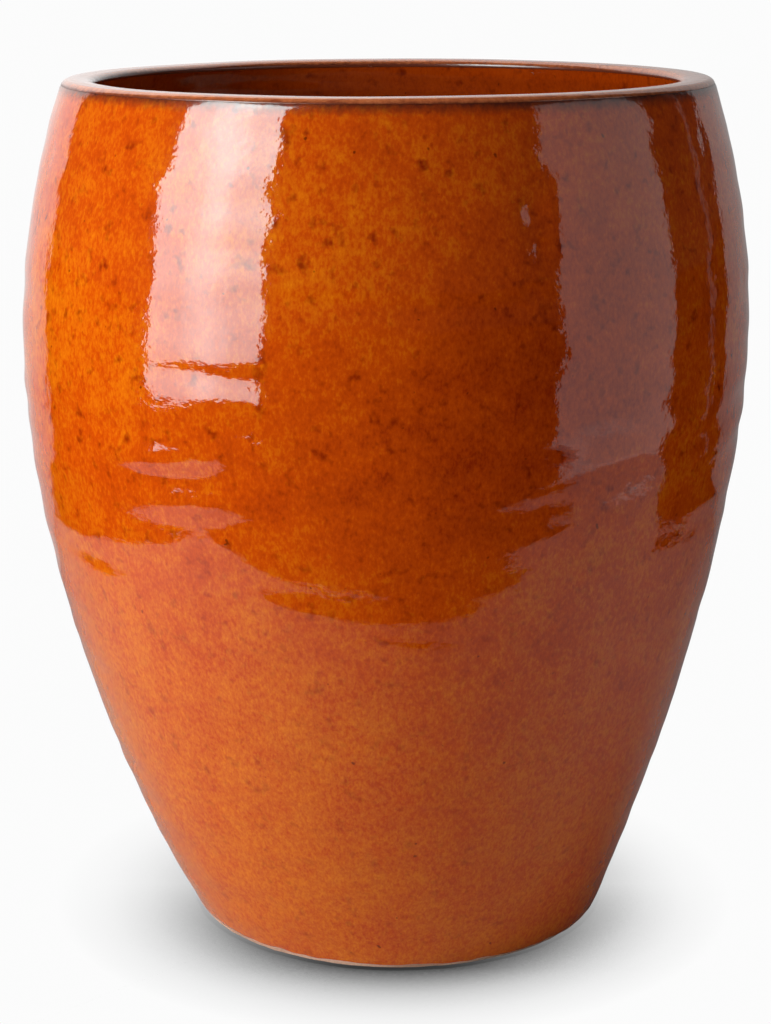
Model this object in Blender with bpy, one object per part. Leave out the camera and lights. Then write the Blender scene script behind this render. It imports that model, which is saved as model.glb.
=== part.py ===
"""A large glazed planter, as its maker builds it: a floor slab, three thrown rings, a rim and its glaze."""

import math

import bpy

# All lengths are in metres, +Z is up, and every piece turns about the Z axis.
SEGMENTS = 48

# The finished outside, over the glaze: one swelling curve from foot to lip.
HEIGHT = 0.700
BELLY_RADIUS = 0.297
BELLY_HEIGHT = 0.484
FOOT_RADIUS = 0.1716
LIP_RADIUS = 0.2615
LOWER_POWER = 1.82
UPPER_POWER = 2.05

WALL = 0.025
GLAZE = 0.001
GAP = 0.0003

SLAB_TOP = 0.026
FLOOR_TOP = 0.028
FOOT_ROUND = 0.003
BARE_BAND_TOP = 0.0095
DRAIN_RADIUS = 0.017
DRAIN_CHAMFER_LOW = 0.002
DRAIN_CHAMFER_TOP = 0.003

LOWER_JOINT = 0.240
UPPER_JOINT = 0.452
RIM_JOINT = 0.660
RIDGE_HEIGHT = 0.007
RIDGE_HALF_WIDTH = 0.006
JOINT_GAP = 0.0004
RING_STEPS = 5

# The rim: the wall turns in over a round shoulder, a flat crown and a second round into the inside.
# The coats meet at the crease outside and at the collar inside.
CREASE_HEIGHT = 0.6935
RIM_CROWN_OUTER = 0.2550
RIM_CROWN_INNER = 0.2445
RIM_INNER = 0.2358
OUTER_ROUND_DROP = 0.0065
INNER_ROUND_DROP = 0.0065
COLLAR_HEIGHT = 0.6890
COAT_GAP = 0.0005
CREASE_GAP = 0.0015

GLAZE_FOOT = 0.0055


def outer_radius(z):
    """Radius of the finished outside at height z."""
    if z < BELLY_HEIGHT:
        drop = (BELLY_HEIGHT - z) / BELLY_HEIGHT
        return BELLY_RADIUS - (BELLY_RADIUS - FOOT_RADIUS) * drop**LOWER_POWER
    rise = (z - BELLY_HEIGHT) / (HEIGHT - BELLY_HEIGHT)
    return BELLY_RADIUS - (BELLY_RADIUS - LIP_RADIUS) * rise**UPPER_POWER


def radius_below(z, depth):
    """Radius at height z of the surface that lies depth under the finished outside."""
    step = 0.001
    slope = (outer_radius(z + step) - outer_radius(z - step)) / (2 * step)
    return outer_radius(z) - depth * math.sqrt(1 + slope * slope)


def clay_out(z):
    return radius_below(z, GLAZE + GAP)


def clay_in(z):
    return radius_below(z, GLAZE + GAP + WALL)


def finished_in(z):
    return clay_in(z) - GAP - GLAZE


def stations(low, high, count):
    return [low + (high - low) * i / count for i in range(count + 1)]


def rounded(centre_r, centre_z, size_r, size_z, start, end, count):
    """Points of a quarter ellipse, from start to end degrees."""
    points = []
    for i in range(count + 1):
        angle = math.radians(start + (end - start) * i / count)
        points.append((centre_r + size_r * math.cos(angle), centre_z + size_z * math.sin(angle)))
    return points


def ridge(z, lift):
    """The V of a luted joint across the wall at height z, from outside to inside."""
    middle = (clay_out(z) + clay_in(z)) / 2
    return [
        (middle + RIDGE_HALF_WIDTH, z + lift),
        (middle, z + lift + RIDGE_HEIGHT),
        (middle - RIDGE_HALF_WIDTH, z + lift),
    ]


def turned(name, profile, material):
    """One closed ring: the profile, given clockwise seen with +r right and +z up, turned about Z."""
    vertices = []
    for i in range(SEGMENTS):
        angle = 2 * math.pi * i / SEGMENTS
        for radius, z in profile:
            vertices.append((radius * math.cos(angle), radius * math.sin(angle), z))
    count = len(profile)
    faces = []
    for i in range(SEGMENTS):
        here = i * count
        there = ((i + 1) % SEGMENTS) * count
        for j in range(count):
            k = (j + 1) % count
            faces.append((here + j, here + k, there + k, there + j))
    mesh = bpy.data.meshes.new(name)
    mesh.from_pydata(vertices, [], faces)
    mesh.materials.append(material)
    mesh.update()
    mesh.shade_smooth()
    mesh.set_sharp_from_angle(angle=math.radians(32))
    obj = bpy.data.objects.new(name, mesh)
    bpy.context.collection.objects.link(obj)
    return obj


def surface(name, colour, roughness, coat):
    """A Principled material of its own."""
    material = bpy.data.materials.new(name)
    material.use_nodes = True
    shader = material.node_tree.nodes["Principled BSDF"]
    shader.inputs["Base Color"].default_value = (*colour, 1)
    shader.inputs["Roughness"].default_value = roughness
    shader.inputs["Coat Weight"].default_value = coat
    return material


def clay(name):
    return surface(name, (0.42, 0.235, 0.15), 0.85, 0.0)


def floor_slab():
    """The disc the pot stands on. Its floor stands up inside the first ring, which sits over its ridge."""
    foot = outer_radius(0) - GLAZE - GAP
    low_round = rounded(foot - FOOT_ROUND, FOOT_ROUND, FOOT_ROUND, FOOT_ROUND, 0, -90, 3)
    step = clay_in(SLAB_TOP) - GAP
    profile = [(step, FLOOR_TOP), (step, SLAB_TOP)]
    profile += list(reversed(ridge(SLAB_TOP, 0)))
    profile += [(clay_out(z), z) for z in (SLAB_TOP, BARE_BAND_TOP)]
    profile += low_round
    profile += [(DRAIN_RADIUS + DRAIN_CHAMFER_LOW, 0), (DRAIN_RADIUS, DRAIN_CHAMFER_LOW)]
    profile += [(DRAIN_RADIUS, FLOOR_TOP - DRAIN_CHAMFER_TOP), (DRAIN_RADIUS + DRAIN_CHAMFER_TOP, FLOOR_TOP)]
    turned("floor_slab", profile, clay("slab_clay"))


def wall_ring(name, low, high, material):
    """A thrown ring of wall, grooved underneath and ridged on top."""
    under = low + JOINT_GAP
    heights = [under] + stations(low, high, RING_STEPS)[1:]
    outside = [(clay_out(z), z) for z in heights]
    inside = [(clay_in(z), z) for z in heights]
    profile = list(reversed(outside))
    profile += ridge(low, JOINT_GAP)
    profile += inside
    profile += list(reversed(ridge(high, 0)))
    turned(name, profile, material)


def rim_section(depth):
    """The rim's outline at a depth under its glaze, from the crease over the crown to the collar."""
    outer_drop = OUTER_ROUND_DROP
    inner_drop = INNER_ROUND_DROP
    shoulder = outer_radius(CREASE_HEIGHT)
    points = rounded(
        RIM_CROWN_OUTER, HEIGHT - outer_drop,
        shoulder - RIM_CROWN_OUTER - depth, outer_drop - depth, 0, 90, 4,
    )
    points += rounded(
        RIM_CROWN_INNER, HEIGHT - inner_drop,
        RIM_CROWN_INNER - RIM_INNER - depth, inner_drop - depth, 90, 180, 5,
    )
    points += [(finished_in(COLLAR_HEIGHT) + depth, COLLAR_HEIGHT + COAT_GAP)]
    return points


def rim():
    """The thick rim, pressed onto the top ring."""
    under = RIM_JOINT + JOINT_GAP
    profile = [(clay_out(z), z) for z in (under, CREASE_HEIGHT - CREASE_GAP)]
    profile += rim_section(GLAZE + GAP)
    profile += [(clay_in(z), z) for z in (COLLAR_HEIGHT, under)]
    profile += list(reversed(ridge(RIM_JOINT, JOINT_GAP)))
    turned("rim", list(reversed(profile)), clay("rim_clay"))


def outer_glaze():
    """The coat on the outside, from just above the foot to the crease under the rim."""
    heights = [GLAZE_FOOT]
    heights += stations(SLAB_TOP, LOWER_JOINT, RING_STEPS)
    heights += stations(LOWER_JOINT, UPPER_JOINT, RING_STEPS)[1:]
    heights += stations(UPPER_JOINT, RIM_JOINT, RING_STEPS)[1:]
    heights += [CREASE_HEIGHT - CREASE_GAP]
    outside = [(outer_radius(z), z) for z in heights]
    inside = [(radius_below(z, GLAZE), z) for z in heights]
    profile = list(reversed(outside)) + inside
    turned("outer_glaze", profile, surface("outer_coat", (0.56, 0.13, 0.012), 0.10, 0.6))


def rim_glaze():
    """The coat over the rim, which breaks thinner on the crown."""
    outside = rim_section(0)
    inside = list(reversed(rim_section(GLAZE)))
    profile = list(reversed(outside + inside))
    turned("rim_glaze", profile, surface("rim_coat", (0.40, 0.13, 0.035), 0.14, 0.6))


def inner_glaze():
    """The coat that runs from under the rim part of the way down the inside."""
    heights = stations(UPPER_JOINT, RIM_JOINT, RING_STEPS)[1:] + [COLLAR_HEIGHT]
    near = [(finished_in(z) + GLAZE, z) for z in heights]
    far = [(finished_in(z), z) for z in heights]
    profile = list(reversed(near)) + far
    turned("inner_glaze", profile, surface("inner_coat", (0.27, 0.06, 0.01), 0.12, 0.6))


def build():
    for old in list(bpy.data.objects):
        bpy.data.objects.remove(old)
    floor_slab()
    wall_ring("lower_ring", SLAB_TOP, LOWER_JOINT, clay("lower_clay"))
    wall_ring("belly_ring", LOWER_JOINT, UPPER_JOINT, clay("belly_clay"))
    wall_ring("shoulder_ring", UPPER_JOINT, RIM_JOINT, clay("shoulder_clay"))
    rim()
    outer_glaze()
    rim_glaze()
    inner_glaze()


build()
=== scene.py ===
"""The looks of the glazed planter: hand-thrown walls, amber glaze over bare clay, and a studio."""
import math

import bpy
import numpy as np
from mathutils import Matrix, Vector


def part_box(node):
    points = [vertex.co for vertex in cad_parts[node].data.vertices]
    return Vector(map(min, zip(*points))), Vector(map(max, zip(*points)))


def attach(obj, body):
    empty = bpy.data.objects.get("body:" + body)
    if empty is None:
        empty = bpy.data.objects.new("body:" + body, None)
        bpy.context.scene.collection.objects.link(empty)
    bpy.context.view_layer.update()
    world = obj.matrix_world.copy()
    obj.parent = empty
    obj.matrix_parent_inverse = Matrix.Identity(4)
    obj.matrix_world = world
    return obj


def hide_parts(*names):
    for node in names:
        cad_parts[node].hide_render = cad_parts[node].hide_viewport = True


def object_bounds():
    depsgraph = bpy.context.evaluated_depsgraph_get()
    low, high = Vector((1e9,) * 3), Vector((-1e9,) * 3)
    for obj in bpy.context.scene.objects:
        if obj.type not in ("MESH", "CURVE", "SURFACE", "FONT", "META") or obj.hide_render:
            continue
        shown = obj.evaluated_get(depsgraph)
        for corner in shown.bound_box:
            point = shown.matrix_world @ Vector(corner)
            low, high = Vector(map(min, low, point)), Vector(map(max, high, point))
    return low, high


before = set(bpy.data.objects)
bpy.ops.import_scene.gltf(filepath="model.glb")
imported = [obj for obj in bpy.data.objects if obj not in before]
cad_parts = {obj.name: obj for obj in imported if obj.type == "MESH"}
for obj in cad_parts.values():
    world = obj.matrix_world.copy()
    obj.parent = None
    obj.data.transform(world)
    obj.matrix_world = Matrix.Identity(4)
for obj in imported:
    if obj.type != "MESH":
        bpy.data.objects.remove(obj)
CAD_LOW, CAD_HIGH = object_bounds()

# --- Sizes, in metres. The frame gives the height, the belly and the seams between the thrown rings.
HEIGHT = CAD_HIGH.z
BELLY_MARGIN = 0.0006
BELLY_RADIUS = CAD_HIGH.x - BELLY_MARGIN
BELLY_HEIGHT = 0.691 * HEIGHT
FOOT_RADIUS = 0.2451 * HEIGHT
LIP_RADIUS = 0.3725 * HEIGHT
LOWER_POWER = 1.82
UPPER_POWER = 2.05

SLAB_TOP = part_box("lower_ring")[0].z
LOWER_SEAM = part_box("belly_ring")[0].z
UPPER_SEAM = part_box("shoulder_ring")[0].z
RIM_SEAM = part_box("rim")[0].z

# The rim's coat meets the outside's at the crease, and the inside's at the undercut.
CREASE = 0.6957
UNDERCUT = 0.6937
WALL = 0.0262
GLAZE = 0.0011

# How far the pot strays from a round, upright one.
FOOT_DRIFT = 0.0155 * HEIGHT
DRIFT_HEIGHT = 1.02 * HEIGHT
DRIFT_POWER = 7.5
SWAY = 0.0015
SWAY_LENGTH = 0.70
SWAY_LEFT = 0.425
LEAN_START = 0.85 * HEIGHT
LEAN_SPAN = 0.15 * HEIGHT
RIM_SHIFT = 0.0007
RIM_TILT = 0.0028

# The rim: a round shoulder outside, a nearly flat crown, and a round into the undercut.
SHOULDER = 0.6945
SHOULDER_WIDTH = 0.0075
OUTER_DROP = 0.0080
CROWN_OUTER = 0.2553
CROWN_INNER = 0.2445
CROWN_SWELL = 0.0004
INNER_DROP = 0.0050
RIM_INNER = 0.2358
UNDERCUT_TURN = 196
RIM_CORE_WIDTH = 0.012
RIM_CORE_DROP = 0.011
RIM_RIPPLE = 0.6
RIM_RIPPLE_TURN = 1
RIM_RIPPLE_FROM = CREASE + 0.001
SLIT = 0.0002
INNER_FLARE = 0.0024
INNER_FLARE_DEPTH = 0.015

# The coats: how they round off at their ends, and how far under the skin their backs and the clay lie.
COAT_ROWS = 220
COAT_CROWDING = 0.045
FOOT_ROLL = 0.0009
FOOT_ROLL_REACH = 0.0012
CREASE_ROLL = 0.00022
CREASE_ROLL_REACH = 0.0007
COAT_BACK = 0.0024
COAT_BACK_INSET = 0.0005
RIM_CLAY_DEPTH = GLAZE + 0.0016
INNER_COAT_BACK = GLAZE + 0.0004
INNER_COAT_THIN = 0.002
INNER_COAT_CROWDING = 1.5
INNER_GLAZE_FOOT = UPPER_SEAM + 0.045
INNER_EDGE_SWAY = 7
INNER_EDGE_RAGGED = 1.5

# The edges read the same random waves, each at a height of its own, so that none repeats another.
GLAZE_EDGE_READ_AT = 0.0
SWAY_READ_AT = 0.2
INNER_EDGE_READ_AT = 0.4
CHIPS_READ_AT = 0.7

# The ragged lower edge of the outside coat, which runs higher on one side.
GLAZE_EDGE = 0.0028
GLAZE_EDGE_TILT = 0.0018
GLAZE_EDGE_HIGH_AT = 3.6
GLAZE_EDGE_RAGGED = 0.25
GLAZE_EDGE_DOWN = -0.0008
GLAZE_EDGE_UP = 0.0016

# The clay under the coats.
CLAY_BACK = 0.0040
RIM_CLAY_BACK = 0.0035
RIM_CLAY_INNER = GLAZE + 0.0006
UNDER_COAT = GLAZE + 0.0012
UNDER_COAT_FADE = 0.02
UNDER_COAT_FADE_LENGTH = 0.01
FILLET_HEIGHT = 0.016
FLOOR_FILLET = 0.010

# The base: its bare foot edge, its sole, its drain hole and the spiral turned on its floor.
FLOOR_TOP = SLAB_TOP + 0.0016
FLOOR_EDGE = 0.0105
UNDER_WALL_GAP = 0.003
DRAIN_RADIUS = 0.017
DRAIN_ROUND_LOW = 0.003
DRAIN_ROUND_TOP = 0.004
SPIRAL_DEPTH = 0.0007
SPIRAL_PITCH = 0.013
SPIRAL_FADE_IN = 6
SPIRAL_FADE_OUT = 12
BAND_TOP = 0.016
BAND_DEPTH = 0.0012
FOOT_ROUND = 0.0026
FOOT_ROUND_TURN = -15
CHIP_DEPTH = 0.0015
CHIP_SHARE = 0.5
CHIP_REACH = 0.003
CHIP_UNDER = 0.4
HOLLOW = 0.0010
HOLLOW_SLOPE = 2
HOLLOW_EDGE = 0.6

MARKS_LOW = 0.10 * HEIGHT
MARKS_HIGH = 0.96 * HEIGHT
BELLY_RIPPLES_AT = 0.435
BELLY_RIPPLES_SPREAD = 0.055

COLUMNS = 400
CLAY_COLUMNS = 256
SHARP_ANGLE = 40


# --- The shape of the pot

def wall_outline(z):
    """Radius of the finished wall before any unevenness."""
    low = np.clip((BELLY_HEIGHT - z) / BELLY_HEIGHT, 0, None)
    high = np.clip((z - BELLY_HEIGHT) / (HEIGHT - BELLY_HEIGHT), 0, None)
    swell = (BELLY_RADIUS - FOOT_RADIUS) * low**LOWER_POWER
    taper = (BELLY_RADIUS - LIP_RADIUS) * high**UPPER_POWER
    return BELLY_RADIUS - swell - taper


def outline(z):
    """The wall, rounded over at the shoulder of the rim."""
    rise = np.clip((z - HEIGHT + OUTER_DROP) / OUTER_DROP, 0, 1)
    shoulder = CROWN_OUTER + SHOULDER_WIDTH * np.sqrt(1 - rise**2)
    return np.where(z > SHOULDER, shoulder, wall_outline(z))


def wall_slope(z):
    step = 0.001
    return (wall_outline(z + step) - wall_outline(z - step)) / (2 * step)


def inner_outline(z):
    """Radius of the finished inside before any unevenness. It opens a little to meet the rim."""
    flare = INNER_FLARE * np.exp(-np.clip(UNDERCUT - z, 0, None) / INNER_FLARE_DEPTH)
    return wall_outline(z) - (WALL + GLAZE) * np.sqrt(1 + wall_slope(z)**2) + flare


class Waves:
    """Random waves over the wall: so many waves round it, so long up it, with a given slope up it."""

    def __init__(self, seed, count, turns, lengths, slope):
        random = np.random.default_rng(seed)
        sign = random.choice((-1, 1), count)
        self.turns = random.integers(turns[0], turns[1] + 1, count) * sign
        self.rate = 2 * math.pi / random.uniform(lengths[0], lengths[1], count)
        self.phase = random.uniform(0, 2 * math.pi, count)
        self.size = slope * math.sqrt(2 / count) / self.rate

    def __call__(self, angle, z):
        total = np.zeros(np.broadcast(angle, z).shape)
        for turns, rate, phase, size in zip(self.turns, self.rate, self.phase, self.size):
            total += size * np.cos(turns * angle + rate * z + phase)
        return total

    def round(self, angle, z):
        """The waves round the pot at one height, as a column."""
        return self(angle, z + 0 * angle)


WOBBLE = Waves(seed=3, count=8, turns=(1, 3), lengths=(0.35, 0.8), slope=0.010)
RINGS = Waves(seed=11, count=9, turns=(0, 2), lengths=(0.024, 0.050), slope=0.022)
RIPPLES = Waves(seed=5, count=26, turns=(2, 9), lengths=(0.022, 0.060), slope=0.022)
LUMPS = Waves(seed=8, count=30, turns=(6, 30), lengths=(0.030, 0.150), slope=0.008)
BELLY = Waves(seed=15, count=16, turns=(2, 10), lengths=(0.024, 0.048), slope=0.055)
FINGERS = Waves(seed=21, count=8, turns=(1, 2), lengths=(0.014, 0.026), slope=0.09)
INNER_LUMPS = Waves(seed=22, count=16, turns=(2, 10), lengths=(0.05, 0.15), slope=0.04)
EDGE = Waves(seed=31, count=18, turns=(2, 60), lengths=(0.10, 0.30), slope=0.05)


class Marks:
    """Small marks pressed into the wall, at given places or scattered. A negative depth stands out.
    A mark is its angle, its height, how far it spreads around and up the wall, and its depth."""

    def __init__(self, places, scattered, seed, around, tall, depths):
        random = np.random.default_rng(seed)
        self.marks = list(places)
        for _ in range(scattered):
            angle = random.uniform(-math.pi, math.pi)
            z = random.uniform(MARKS_LOW, MARKS_HIGH)
            sizes = [random.uniform(*limits) for limits in (around, tall, depths)]
            self.marks.append((angle, z, *sizes))

    def __call__(self, angle, z):
        total = np.zeros(np.broadcast(angle, z).shape)
        for place, height, around, tall, depth in self.marks:
            across = np.angle(np.exp(1j * (angle - place))) * BELLY_RADIUS / around
            total -= depth * np.exp(-across**2 - ((z - height) / tall)**2)
        return total


DENTS = Marks(
    places=(
        (-1.190, 0.619, 0.011, 0.013, 0.00165),
        (-1.178, 0.594, 0.009, 0.010, 0.00110),
        (-1.205, 0.568, 0.006, 0.006, 0.00060),
    ),
    scattered=80, seed=41, around=(0.006, 0.013), tall=(0.008, 0.018), depths=(0.00010, 0.00055),
)
RIDGES = Marks(
    places=(
        (-2.020, 0.6140, 0.030, 0.0032, -0.00016),
        (-1.950, 0.5890, 0.040, 0.0036, -0.00024),
        (-2.030, 0.6300, 0.012, 0.0040, -0.00016),
        (-2.000, 0.5015, 0.042, 0.0070, 0.00034),
        (-2.020, 0.4680, 0.055, 0.0150, -0.00055),
        (-2.130, 0.4590, 0.014, 0.0080, -0.00030),
    ),
    scattered=60, seed=43, around=(0.020, 0.070), tall=(0.003, 0.006), depths=(-0.00020, 0.00012),
)


def throwing(angle, z):
    """Unevenness of the outside: waves of every length, more ripples at the belly, and marks."""
    belly = np.exp(-((z - BELLY_RIPPLES_AT) / BELLY_RIPPLES_SPREAD)**2) * BELLY(angle, z)
    waves = WOBBLE(angle, z) + RINGS(angle, z) + RIPPLES(angle, z) + LUMPS(angle, z)
    return waves + belly + DENTS(angle, z) + RIDGES(angle, z)


def outside(angle, z):
    return outline(z) + throwing(angle, z)


def lining(angle, z):
    """Unevenness of the inside, with its finger grooves. It shares only the longest waves."""
    return WOBBLE(angle, z) + FINGERS(angle, z) + INNER_LUMPS(angle, z)


def inside(angle, z):
    return inner_outline(z) + lining(angle, z)


def placed(angle, radius, z):
    """Points in the row frame. The foot was trimmed a little off the axis, and the rim leans."""
    drift = FOOT_DRIFT * np.clip(1 - z / DRIFT_HEIGHT, 0, None)**DRIFT_POWER
    sway = -SWAY * np.cos(2 * math.pi * (z - SWAY_LEFT) / SWAY_LENGTH)
    x = radius * np.cos(angle) + drift + sway
    y = radius * np.sin(angle)
    rise = np.clip((z - LEAN_START) / LEAN_SPAN, 0, 1)
    return x + RIM_SHIFT * rise, y, z + RIM_TILT * x * rise


# --- Meshes

def ring_mesh(name, columns, section, material):
    """A closed ring. section(angle) gives its radii and heights, one row per angle, clockwise about +Z."""
    angle = (np.arange(columns) * 2 * math.pi / columns)[:, None]
    radius, z = section(angle)
    x, y, z = placed(angle, radius, z)
    rows = radius.shape[1]
    points = np.stack([x, y, z], axis=-1).reshape(-1, 3)
    here = np.arange(columns)[:, None] * rows
    there = ((np.arange(columns) + 1) % columns)[:, None] * rows
    row = np.arange(rows)[None, :]
    following = (row + 1) % rows
    faces = np.stack([here + row, here + following, there + following, there + row], axis=-1)
    mesh = bpy.data.meshes.new(name)
    mesh.from_pydata(points.tolist(), [], faces.reshape(-1, 4).tolist())
    mesh.materials.append(material)
    mesh.update()
    mesh.shade_smooth()
    mesh.set_sharp_from_angle(angle=math.radians(SHARP_ANGLE))
    obj = bpy.data.objects.new(name, mesh)
    bpy.context.collection.objects.link(obj)
    return obj


def joined(*parts):
    """Stretches of a section, one after another, as full arrays of radii and heights."""
    columns = max(np.shape(r)[0] for r, z in parts)
    radii = []
    heights = []
    for r, z in parts:
        shape = np.broadcast_shapes(np.shape(r), np.shape(z), (columns, 1))
        radii.append(np.broadcast_to(r, shape))
        heights.append(np.broadcast_to(z, shape))
    return np.concatenate(radii, axis=1), np.concatenate(heights, axis=1)


def shares(count):
    """Even steps from 0 to 1, as a row."""
    return np.linspace(0, 1, count)[None, :]


def spaced(start, end, count):
    return start + (end - start) * shares(count)


def fading(size, away, reach):
    """A size that falls off with distance."""
    return size * np.exp(-away / reach)


def ellipse(centre_r, centre_z, size_r, size_z, start, end, count):
    """Points of an ellipse, from start to end degrees."""
    turn = np.radians(np.linspace(start, end, count))[None, :]
    return centre_r + size_r * np.cos(turn), centre_z + size_z * np.sin(turn)


def glaze_foot(angle):
    """Height of the ragged lower edge of the outside glaze."""
    ragged = GLAZE_EDGE_RAGGED * EDGE.round(angle, GLAZE_EDGE_READ_AT)
    tilt = GLAZE_EDGE_TILT * np.cos(angle - GLAZE_EDGE_HIGH_AT)
    return GLAZE_EDGE + tilt + np.clip(ragged, GLAZE_EDGE_DOWN, GLAZE_EDGE_UP)


def outer_coat_section(angle):
    """The outside coat, from its ragged foot up to the crease."""
    foot = glaze_foot(angle)
    ease = shares(COAT_ROWS)
    ease = ease - COAT_CROWDING * np.sin(2 * math.pi * ease)
    z = foot + (CREASE - foot) * ease
    lower_roll = fading(FOOT_ROLL, z - foot, FOOT_ROLL_REACH)
    upper_roll = fading(CREASE_ROLL, CREASE - z, CREASE_ROLL_REACH)
    skin = outside(angle, z) - lower_roll - upper_roll
    back_z = spaced(CREASE - COAT_BACK_INSET, foot + COAT_BACK_INSET, count=24)
    back = outside(angle, back_z) - COAT_BACK
    return joined((back, back_z), (skin, z))


def rim_outline(angle, depth):
    """The rim from the crease, over the crown, to the undercut, at a depth under its skin."""
    low = CREASE + SLIT
    start = math.degrees(math.asin((low - HEIGHT + OUTER_DROP) / OUTER_DROP))
    outer = ellipse(CROWN_OUTER, HEIGHT - OUTER_DROP, SHOULDER_WIDTH, OUTER_DROP, start, 90, count=14)
    roll = fading(CREASE_ROLL, outer[1] - low, CREASE_ROLL_REACH)
    across = shares(count=9)[:, 1:-1]
    crown_r = CROWN_OUTER + (CROWN_INNER - CROWN_OUTER) * across
    crown_z = HEIGHT + CROWN_SWELL * np.sin(math.pi * across)
    width = CROWN_INNER - RIM_INNER
    inner = ellipse(CROWN_INNER, HEIGHT - INNER_DROP, width, INNER_DROP, 90, UNDERCUT_TURN, count=20)
    radius, z = joined((outer[0] - roll, outer[1]), (crown_r, crown_z), inner)
    core_r = (CROWN_OUTER + CROWN_INNER) / 2
    core_z = HEIGHT - RIM_CORE_DROP
    radius = core_r + (radius - core_r) * (1 - depth / RIM_CORE_WIDTH)
    z = core_z + (z - core_z) * (1 - depth / RIM_CORE_DROP)
    inner_share = np.clip((CROWN_OUTER - radius) / (CROWN_OUTER - RIM_INNER), 0, 1)
    uneven = throwing(angle, z) * (1 - inner_share) + lining(angle, z) * inner_share
    ripple = RIM_RIPPLE * RIPPLES(angle + RIM_RIPPLE_TURN, 0 * z + HEIGHT)
    return radius + uneven, z + ripple * (z > RIM_RIPPLE_FROM)


def rim_coat_section(angle):
    skin = rim_outline(angle, 0.0)
    back = rim_outline(angle, GLAZE)
    return joined((back[0][:, ::-1], back[1][:, ::-1]), skin)


def rim_clay_section(angle):
    skin = rim_outline(angle, RIM_CLAY_DEPTH)
    low = RIM_SEAM + 0 * angle
    inner = (inside(angle, low) + RIM_CLAY_INNER, low)
    outer = (outside(angle, low) - RIM_CLAY_BACK, low)
    return joined(inner, outer, skin)


def inner_coat_section(angle):
    """The inside coat, from the undercut down to its ragged lower edge."""
    top = UNDERCUT - SLIT
    sway = INNER_EDGE_SWAY * RIPPLES.round(angle, SWAY_READ_AT)
    foot = INNER_GLAZE_FOOT + sway + INNER_EDGE_RAGGED * EDGE.round(angle, INNER_EDGE_READ_AT)
    z = top + (foot - top) * shares(count=96)**INNER_COAT_CROWDING
    thin = fading(GLAZE, z - foot, INNER_COAT_THIN)
    back_z = spaced(foot, top, count=30)
    return joined((inside(angle, z) + thin, z), (inside(angle, back_z) + INNER_COAT_BACK, back_z))


def clay_ring_section(low, high, fillet=0.0):
    """A thrown ring between two seams. The fillet thickens its lower inside corner."""
    def section(angle):
        z = spaced(high, low, count=56)
        corner = np.clip(1 - (z - low) / FILLET_HEIGHT, 0, 1)**2
        coated = np.clip((z - INNER_GLAZE_FOOT + UNDER_COAT_FADE) / UNDER_COAT_FADE_LENGTH, 0, 1)
        skin = inside(angle, z) + coated * UNDER_COAT - fillet * corner
        back_z = spaced(low, high, count=20)
        back = outside(angle, back_z) - CLAY_BACK
        return joined((skin, z), (back, back_z))
    return section


def slab_section(angle):
    """The base: the drain hole, the turned floor inside, the bare foot edge and the hollow underside."""
    hole_foot = DRAIN_RADIUS + DRAIN_ROUND_LOW
    hole_lip = DRAIN_RADIUS + DRAIN_ROUND_TOP
    hole_up = ellipse(hole_foot, DRAIN_ROUND_LOW, -DRAIN_ROUND_LOW, -DRAIN_ROUND_LOW, 90, 0, count=5)
    hole_top = ellipse(hole_lip, FLOOR_TOP - DRAIN_ROUND_TOP, -DRAIN_ROUND_TOP, DRAIN_ROUND_TOP,
                       0, 90, count=6)
    share = shares(count=70)[:, 1:]
    edge = inside(angle, SLAB_TOP + 0 * angle) - FLOOR_EDGE
    floor_r = hole_lip + (edge - hole_lip) * share
    spiral = SPIRAL_DEPTH * np.sin(2 * math.pi * floor_r / SPIRAL_PITCH - angle)
    fade = np.clip(share * SPIRAL_FADE_IN, 0, 1) * np.clip((1 - share) * SPIRAL_FADE_OUT, 0, 1)
    floor = (floor_r, FLOOR_TOP + spiral * fade)
    wall_back = outside(angle, SLAB_TOP + 0 * angle) - CLAY_BACK
    under_wall = (spaced(edge + UNDER_WALL_GAP, wall_back, count=4), FLOOR_TOP)
    chips = np.clip(EDGE.round(angle, CHIPS_READ_AT) * CHIP_SHARE, 0, CHIP_DEPTH)
    band_z = spaced(BAND_TOP, FOOT_ROUND, count=12)
    band = (outside(angle, band_z) - BAND_DEPTH - fading(chips, band_z, CHIP_REACH), band_z)
    foot_r = outside(angle, FOOT_ROUND + 0 * angle) - BAND_DEPTH - chips * CHIP_UNDER - FOOT_ROUND
    foot = ellipse(foot_r, FOOT_ROUND, FOOT_ROUND, FOOT_ROUND, FOOT_ROUND_TURN, -90, count=6)
    inward = shares(count=26)[:, 1:-1]
    sole_r = foot_r + (hole_foot - foot_r) * inward
    hollow = HOLLOW * np.clip(np.sin(math.pi * inward) * HOLLOW_SLOPE - HOLLOW_EDGE, 0, 1)
    return joined(hole_up, hole_top, floor, under_wall, band, foot, (sole_r, hollow))


# --- Materials

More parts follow.
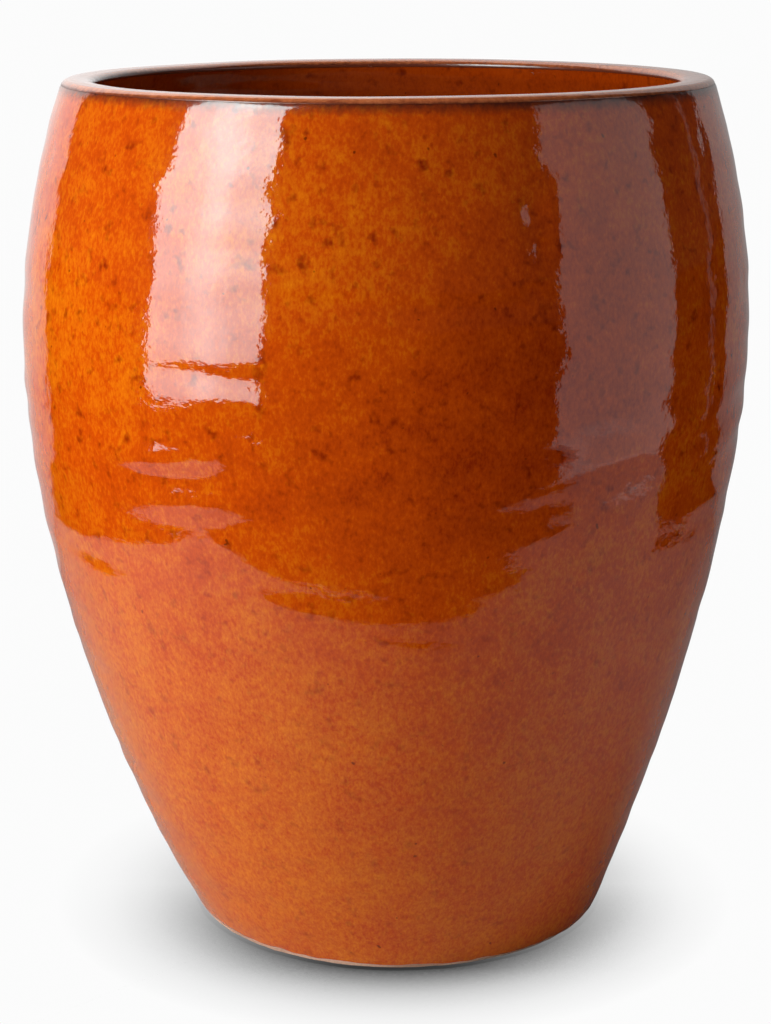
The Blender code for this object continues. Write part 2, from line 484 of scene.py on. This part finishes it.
class Nodes:
    """Short calls for building a node tree. A value is a number, a tuple or the socket it comes from."""

    def __init__(self, tree):
        self.tree = tree

    def add(self, kind, **inputs):
        """A new node, with some of its inputs given by name."""
        node = self.tree.nodes.new(kind)
        for key, value in inputs.items():
            self.put(node.inputs[key.replace("_", " ")], value)
        return node

    def put(self, socket, value):
        if isinstance(value, bpy.types.NodeSocket):
            self.tree.links.new(value, socket)
        else:
            socket.default_value = value

    def put_all(self, node, values):
        """Values for some of a node's inputs, by their numbers."""
        for index, value in values.items():
            self.put(node.inputs[index], value)

    def object_point(self):
        return self.add("ShaderNodeTexCoord").outputs["Object"]

    def split(self, vector):
        """The X, Y and Z of a vector."""
        return self.add("ShaderNodeSeparateXYZ", Vector=vector).outputs

    def noise(self, scale, detail, rough=0.55, twist=0.0, stretch=(1, 1, 1), shift=(0, 0, 0)):
        place = self.add("ShaderNodeMapping", Vector=self.object_point(), Scale=stretch, Location=shift)
        node = self.add("ShaderNodeTexNoise", Vector=place.outputs["Vector"], Scale=scale, Detail=detail,
                        Roughness=rough, Distortion=twist)
        return node.outputs["Fac"]

    def ramp(self, value, *stops):
        """A colour or a grey for each stop of the value, with straight steps between."""
        node = self.add("ShaderNodeValToRGB", Fac=value)
        elements = node.color_ramp.elements
        while len(elements) < len(stops):
            elements.new(0.5)
        for element, (place, colour) in zip(elements, stops):
            element.position = place
            element.color = (*colour, 1) if isinstance(colour, tuple) else (colour, colour, colour, 1)
        return node

    def between(self, value, low, high, out_low=0.0, out_high=1.0):
        """The value, moved from one range to another and held inside it."""
        node = self.add("ShaderNodeMapRange", Value=value, From_Min=low, From_Max=high,
                        To_Min=out_low, To_Max=out_high)
        return node.outputs["Result"]

    def math(self, kind, *values):
        node = self.add("ShaderNodeMath")
        node.operation = kind
        self.put_all(node, dict(enumerate(values)))
        return node.outputs["Value"]

    def total(self, first, *others):
        for other in others:
            first = self.math("ADD", first, other)
        return first

    def product(self, first, *others):
        for other in others:
            first = self.math("MULTIPLY", first, other)
        return first

    def blend(self, share, first, second):
        """A mix of two plain values."""
        node = self.add("ShaderNodeMix")
        self.put_all(node, {0: share, 2: first, 3: second})
        return node.outputs[0]

    def mix(self, share, first, second, blend="MIX"):
        """A mix of two colours."""
        node = self.add("ShaderNodeMix")
        node.data_type = "RGBA"
        node.blend_type = blend
        colours = [(*value, 1) if isinstance(value, tuple) else value for value in (first, second)]
        self.put_all(node, {0: share, 6: colours[0], 7: colours[1]})
        return node.outputs[2]

    def either(self, share, first, second):
        """A mix of two shaders."""
        node = self.add("ShaderNodeMixShader")
        self.put_all(node, {0: share, 1: first, 2: second})
        return node.outputs[0]

    def distance(self, place):
        node = self.add("ShaderNodeVectorMath")
        node.operation = "DISTANCE"
        self.put_all(node, {0: self.object_point(), 1: place})
        return node.outputs["Value"]

    def openness(self, distance):
        """How open a point is, counting only what stands within the distance: 1 in the open."""
        node = self.add("ShaderNodeAmbientOcclusion", Distance=distance)
        node.samples = 16
        return node.outputs["AO"]

    def bump(self, *layers):
        """A normal from several layers, each a height and how many metres it stands for."""
        normal = None
        for height, distance in layers:
            node = self.add("ShaderNodeBump", Height=height, Distance=distance, Strength=1.0)
            if normal is not None:
                self.put(node.inputs["Normal"], normal)
            normal = node.outputs["Normal"]
        return normal

    def surface(self, colour, roughness, normal):
        """The inputs of the tree's Principled shader, with these three given."""
        inputs = self.tree.nodes["Principled BSDF"].inputs
        self.put(inputs["Base Color"], colour)
        self.put(inputs["Roughness"], roughness)
        self.put(inputs["Normal"], normal)
        return inputs


def new_material(name):
    """A material, and the calls that build its nodes."""
    material = bpy.data.materials.new(name)
    material.use_nodes = True
    return material, Nodes(material.node_tree)


# Soft areas that shift the glaze's tone: the middle, the reach and the change of tone.
# The second is painted shade, more rust right of the middle; the last two are painted light, more honey
# where the key light falls on the left.
PAINTED_LIGHT_AND_TONE_PATCHES = (
    (Vector((-0.05, -0.27, 0.61)), 0.11, -0.040),
    (Vector((0.12, -0.28, 0.50)), 0.15, 0.145),
    (Vector((0.04, -0.27, 0.39)), 0.09, 0.060),
    (Vector((-0.27, -0.12, 0.56)), 0.30, -0.060),
    (Vector((-0.20, -0.10, 0.20)), 0.26, -0.080),
)
GLAZE_IOR = 1.62
FLECK_SHARE = 0.34
GRAIN_SHARE = 0.22
CLOUD_SHARE = 0.17
PATCH_SHARE = 0.23
BROAD_MIDDLE = 0.20
SPOT_TINT = (0.46, 0.27, 0.30)
PIT_DEPTH = 0.65
PIT_SHADE = 0.15
BAND_COVER = 0.9
ROUGHNESS_SPREAD = 0.03


def glaze_material(name, honey, amber, rust, bands=(), satin=0.03):
    """Glossy mottled glaze: honey where thin, rust where thick, with flecks, spots and pits, and painted
    light and shade in its tone.
    A band is the height where it starts, the height where it is full, its wander, tint and dullness. The
    bands darken the rim's edges: partly glaze broken dark there, partly painted shade."""
    material, n = new_material(name)
    z = n.split(n.object_point())["Z"]
    cloud = n.noise(9.0, detail=2.0, twist=0.4)
    patch = n.noise(40.0, detail=3.0, shift=(3, 1, 2))
    fleck = n.noise(270.0, detail=3.0, rough=0.6, stretch=(1, 1, 0.7))
    grain = n.noise(640.0, detail=2.0, stretch=(1, 1, 0.5), shift=(1, 6, 2))
    fine = n.total(n.product(fleck, FLECK_SHARE), n.product(grain, GRAIN_SHARE))
    broad = n.total(n.product(cloud, CLOUD_SHARE), n.product(patch, PATCH_SHARE))
    broad = n.product(n.math("SUBTRACT", broad, BROAD_MIDDLE), n.between(z, 0.20, 0.42, out_low=0.65))
    # Towards the foot the tone runs to honey: painted light, standing in for light bounced up from the
    # floor.
    tone = n.total(fine, broad, n.between(z, 0.03, 0.42, out_low=0.145, out_high=0.225))
    # The tone patches add painted light on the left and painted shade right of the middle.
    for place, reach, shift in PAINTED_LIGHT_AND_TONE_PATCHES:
        tone = n.total(tone, n.between(n.distance(place), 0.0, reach, out_low=shift, out_high=0.0))
    colour = n.ramp(tone, (0.30, honey), (0.50, amber), (0.70, rust)).outputs["Color"]
    spots = n.noise(90.0, detail=2.0, rough=0.5, shift=(5, 7, 3))
    seen = n.product(n.between(spots, 0.59, 0.79), n.between(z, 0.25, 0.45, out_low=0.55))
    colour = n.mix(seen, colour, SPOT_TINT, blend="MULTIPLY")
    pits = n.noise(150.0, detail=1.0, rough=0.4, shift=(9, 4, 1))
    pitted = n.between(pits, 0.78, 0.82, out_high=PIT_DEPTH)
    colour = n.mix(pitted, colour, tuple(c * PIT_SHADE for c in rust))
    roughness = n.between(fleck, 0.3, 0.8, out_low=satin, out_high=satin + ROUGHNESS_SPREAD)
    ragged = n.noise(170.0, detail=3.0, rough=0.6, stretch=(1, 1, 0.8), shift=(2, 2, 8))
    ragged = n.math("SUBTRACT", ragged, 0.5)
    # Each band darkens its stretch: partly the glaze's own dark edge, partly painted shade.
    for start, full, wander, tint, dull in bands:
        share = n.between(n.total(z, n.product(ragged, wander)), start, full, out_high=BAND_COVER)
        colour = n.mix(share, colour, tint)
        roughness = n.total(roughness, n.product(share, dull))
    ripples = n.noise(13.0, detail=1.0, rough=0.4, stretch=(1, 1, 3.5), shift=(7, 2, 5))
    drips = n.noise(60.0, detail=1.0, rough=0.4, stretch=(1, 1, 0.10), shift=(6, 3, 1))
    peel = n.noise(165.0, detail=2.0, rough=0.6, stretch=(1, 1, 1.4))
    normal = n.bump((ripples, 0.0003), (drips, 0.00012), (spots, 0.00020), (peel, 0.00011))
    n.surface(colour, roughness, normal)["IOR"].default_value = GLAZE_IOR
    return material


GROG = (0.10, 0.045, 0.025)
GRAIN_SHADE = 0.6


def clay_material(name, pale, brown):
    """Bare fired clay: pale and dry, with dark grog specks, finer grain and dusty stains."""
    material, n = new_material(name)
    cloud = n.noise(11.0, detail=5.0, rough=0.65)
    grain = n.noise(420.0, detail=4.0, rough=0.7)
    grog = n.noise(900.0, detail=2.0, rough=0.6, shift=(4, 4, 4))
    stain = n.ramp(cloud, (0.3, pale), (0.7, brown))
    stain.color_ramp.interpolation = "EASE"
    colour = stain.outputs["Color"]
    grained = n.between(grain, 0.45, 0.75, out_high=0.5)
    colour = n.mix(grained, colour, tuple(c * GRAIN_SHADE for c in brown))
    colour = n.mix(n.between(grog, 0.64, 0.74, out_high=0.8), colour, GROG)
    normal = n.bump((grain, 0.0005), (grog, 0.0002))
    n.surface(colour, n.between(cloud, 0.2, 0.8, out_low=0.78, out_high=0.95), normal)
    return material


# Dark tints for the rim's edges: partly glaze gathered and broken dark there, partly painted shade in the
# crease and under the rolls of the rim.
CREASE_DARK_AND_SHADE = (0.045, 0.011, 0.007)
BROKEN_GLAZE_AND_SHADE = (0.130, 0.026, 0.010)

outer_glaze = glaze_material(
    "outer_coat", (0.61, 0.160, 0.0030), (0.46, 0.056, 0.0014), (0.27, 0.021, 0.0012),
    bands=((CREASE - 0.0085, CREASE + 0.0004, 0.008, CREASE_DARK_AND_SHADE, 0.12),),
)
# The rim coat is paler than the outside: glaze thinned over the edge, and partly a painted highlight along
# the crown.
rim_glaze = glaze_material(
    "rim_coat", (0.70, 0.235, 0.090), (0.56, 0.155, 0.050), (0.36, 0.078, 0.024),
    bands=(
        (HEIGHT - 0.0012, HEIGHT - 0.0040, 0.003, BROKEN_GLAZE_AND_SHADE, 0.0),
        (CREASE + 0.0012, CREASE, 0.003, BROKEN_GLAZE_AND_SHADE, 0.20),
    ),
    satin=0.07,
)
# The inside coat is a darker copy of the glaze: painted shade inside the pot.
inner_glaze = glaze_material("inner_coat", (0.42, 0.058, 0.002), (0.32, 0.038, 0.001), (0.20, 0.018, 0.001))
pale_clay = clay_material("bare_clay", (0.60, 0.41, 0.30), (0.42, 0.25, 0.17))


# --- The pieces, each on the pot's one body, each in place of the frame's part, which it hides

def piece(name, columns, section, material, node):
    obj = ring_mesh(name, columns, section, material)
    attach(obj, "root")
    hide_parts(node)


piece("glazed_outside", COLUMNS, outer_coat_section, outer_glaze, "outer_glaze")
piece("glazed_rim", COLUMNS, rim_coat_section, rim_glaze, "rim_glaze")
piece("glazed_inside", COLUMNS, inner_coat_section, inner_glaze, "inner_glaze")
piece("rim_clay_body", CLAY_COLUMNS, rim_clay_section, pale_clay, "rim")
piece("shoulder_clay_ring", CLAY_COLUMNS, clay_ring_section(UPPER_SEAM, RIM_SEAM), pale_clay,
      "shoulder_ring")
piece("belly_clay_ring", CLAY_COLUMNS, clay_ring_section(LOWER_SEAM, UPPER_SEAM), pale_clay,
      "belly_ring")
piece("lower_clay_ring", CLAY_COLUMNS, clay_ring_section(SLAB_TOP, LOWER_SEAM, FLOOR_FILLET), pale_clay,
      "lower_ring")
piece("base_slab", CLAY_COLUMNS, slab_section, pale_clay, "floor_slab")


# --- Studio

CAMERA_DISTANCE = 1.9227
CAMERA_HEIGHT = 0.8145
CAMERA_PITCH = 13.95
LENS = 82.46
SENSOR = 36

# How far from a softbox's middle, as a share of its width, its lamp still adds to the glow.
LAMP_REACH = 0.28

# The backdrop is a row of softboxes: how far right each end is, and the factor of the glow there.
BACKDROP = ((-1.36, 0.88), (-0.20, 0.90), (0.25, 0.54), (0.50, 0.33), (1.36, 0.38))
BACKDROP_BACK = 0.85


def softbox(name, start, end, low, high, upward, across=(1.0, 1.0), hot=0.0,
            tint=(1.0, 1.0, 1.0), mirrored=True, lighting=True):
    """An upright rectangular light between two floor points, facing right of the way from start to end.
    upward is its glow at the low and high ends, across a factor at start and end, and hot a lamp's share
    more in the middle. mirrored is whether glossy surfaces show it, lighting whether it lights the rest."""
    start = Vector((*start, (low + high) / 2))
    end = Vector((*end, (low + high) / 2))
    along = end - start
    data = bpy.data.lights.new(name, "AREA")
    data.shape = "RECTANGLE"
    data.size = along.length
    data.size_y = high - low
    data.energy = math.pi * data.size * data.size_y
    data.color = tint
    data.use_nodes = True
    n = Nodes(data.node_tree)
    place = n.split(n.add("ShaderNodeNewGeometry").outputs["Parametric"])
    rising = n.between(place["Y"], 0.0, 1.0, *upward)
    turning = n.between(place["X"], 0.0, 1.0, *reversed(across))
    side = n.math("ABSOLUTE", n.math("SUBTRACT", place["X"], 0.5))
    lamp = n.add("ShaderNodeMapRange", Value=side, From_Max=LAMP_REACH, To_Min=1 + hot, To_Max=1.0)
    lamp.interpolation_type = "SMOOTHSTEP"
    glow = n.product(rising, turning, lamp.outputs["Result"])
    n.put(n.tree.nodes["Emission"].inputs["Strength"], glow)
    obj = bpy.data.objects.new(name, data)
    facing = Vector((along.y, -along.x, 0)).normalized()
    obj.location = (start + end) / 2
    obj.rotation_euler = facing.to_track_quat("-Z", "Y").to_euler()
    obj.visible_camera = False
    obj.visible_glossy = mirrored
    obj.visible_diffuse = lighting
    bpy.context.collection.objects.link(obj)


# The softbox that glossy surfaces show and the one that lights the rest stand a little apart.
softbox("left_softbox", (-0.971, -1.434), (-1.437, -0.543), low=0.23, high=2.00, upward=(4.4, 10.6),
        hot=0.40, tint=(0.79, 0.99, 1.0), lighting=False)
softbox("left_key", (-1.092, -1.344), (-1.479, -0.415), low=0.23, high=2.00, upward=(5.2, 10.4),
        mirrored=False)
softbox("right_card", (1.489, 0.003), (1.178, -1.017), low=0.0, high=1.6, upward=(0.70, 0.70))
softbox("right_slit", (1.440, 0.582), (1.460, 0.530), low=0.0, high=1.6, upward=(0.16, 0.16))
for (left, first), (right, last) in zip(BACKDROP, BACKDROP[1:]):
    softbox("backdrop", (left, BACKDROP_BACK), (right, BACKDROP_BACK), low=0.0, high=2.2,
            upward=(0.50, 2.40), across=(first, last))


# The floor's reach, and the left, right, front and back of the two sheets that show in reflections.
REACH = 40.0
SHEET = (-0.92, 1.0, -0.67, 0.85)
CARD_SHEET = (1.0, 1.5, -1.0, 0.0)

# The floor's glow to the camera is a painted shadow, set by how open the point is: dark beside the foot,
# and white further out.
# The painted shade is stronger to the right, and most of it is lost behind the pot.
SHADOW = ((0.33, 0.04), (0.45, 0.27), (0.60, 0.62), (0.78, 0.85), (1.0, 0.97))
WHITE = SHADOW[-1][1]
SHADE_REACH = 0.11
SHADE_LEAN = 0.40
SHADE_STRENGTH = 1.015
SHADE_LOST_BEHIND = 0.6
CONTACT_REACH = 0.005
CONTACT_STRENGTH = 0.30

# The floor to other rays: the left and right ends of a stretch, and the whiteness at each. Reflections
# show the sum of the first two, and light bounces off the third. All three are painted light and shade:
# what reflections show fades to the right and rises again at the far right, and the bounce is brighter to
# the left.
MIRRORED = (-0.92, 0.15, 0.62, 0.31)
MIRRORED_RIGHT = (0.10, 0.60, 0.0, 0.32)
BOUNCED = (-0.92, 1.0, 1.2, 0.9)


def floor_material():
    """White paper that glows to the camera, with a painted shadow where the pot stands. Only the lit sheets
    show in reflections.
    """
    material, n = new_material("paper")
    n.tree.nodes.clear()
    rays = n.add("ShaderNodeLightPath").outputs
    place = n.split(n.object_point())

    def inside_sheet(left, right, front, back):
        return n.product(n.math("GREATER_THAN", place["X"], left), n.math("LESS_THAN", place["X"], right),
                         n.math("GREATER_THAN", place["Y"], front), n.math("LESS_THAN", place["Y"], back))

    closed = n.math("SUBTRACT", 1.0, n.openness(SHADE_REACH))
    leaning = n.math("MULTIPLY_ADD", place["X"], SHADE_LEAN, SHADE_STRENGTH)
    touching = n.math("MULTIPLY_ADD", n.openness(CONTACT_REACH), CONTACT_STRENGTH, 1.0 - CONTACT_STRENGTH)
    dim = n.ramp(n.math("SUBTRACT", touching, n.product(closed, leaning)), *SHADOW).outputs["Color"]
    behind = n.between(place["Y"], -FOOT_RADIUS, 0.0, 0.0, SHADE_LOST_BEHIND)
    # The camera sees the floor glow, with the painted shadow in it.
    seen = n.add("ShaderNodeEmission", Strength=n.blend(behind, dim, WHITE))
    sheets = n.math("MAXIMUM", inside_sheet(*SHEET), inside_sheet(*CARD_SHEET))
    # Painted light and shade in the paper's whiteness, as reflections and bounced light see it.
    bright = n.total(n.between(place["X"], *MIRRORED), n.between(place["X"], *MIRRORED_RIGHT))
    mirrored = n.product(bright, sheets)
    bounced = n.between(place["X"], *BOUNCED)
    paper = n.add("ShaderNodeBsdfDiffuse", Color=n.blend(rays["Is Glossy Ray"], bounced, mirrored))
    shader = n.either(rays["Is Camera Ray"], paper.outputs[0], seen.outputs[0])
    n.add("ShaderNodeOutputMaterial", Surface=shader)
    return material


def floor():
    mesh = bpy.data.meshes.new("floor")
    corners = [(-REACH, -REACH, 0), (REACH, -REACH, 0), (REACH, REACH, 0), (-REACH, REACH, 0)]
    mesh.from_pydata(corners, [], [(0, 1, 2, 3)])
    mesh.materials.append(floor_material())
    obj = bpy.data.objects.new("floor", mesh)
    bpy.context.collection.objects.link(obj)


WORLD_AMBIENT = 0.03
WORLD_MIRRORED = 0.016


def studio_world():
    """White to the camera, and dim to everything else."""
    world = bpy.data.worlds.new("studio")
    bpy.context.scene.world = world
    world.use_nodes = True
    n = Nodes(world.node_tree)
    n.tree.nodes.clear()
    rays = n.add("ShaderNodeLightPath").outputs
    ambient, mirrored, white = (
        n.add("ShaderNodeBackground", Color=(1, 1, 1, 1), Strength=strength).outputs[0]
        for strength in (WORLD_AMBIENT, WORLD_MIRRORED, WHITE)
    )
    unseen = n.either(rays["Is Glossy Ray"], ambient, mirrored)
    n.add("ShaderNodeOutputWorld", Surface=n.either(rays["Is Camera Ray"], unseen, white))


def camera():
    data = bpy.data.cameras.new("camera")
    data.lens = LENS
    data.sensor_width = SENSOR
    obj = bpy.data.objects.new("camera", data)
    obj.location = (0, -CAMERA_DISTANCE, CAMERA_HEIGHT)
    obj.rotation_euler = (math.radians(90 - CAMERA_PITCH), 0, 0)
    bpy.context.collection.objects.link(obj)
    bpy.context.scene.camera = obj


floor()
studio_world()
camera()
bpy.context.scene.view_settings.view_transform = "Standard"
bpy.context.scene.cycles.use_denoising = True
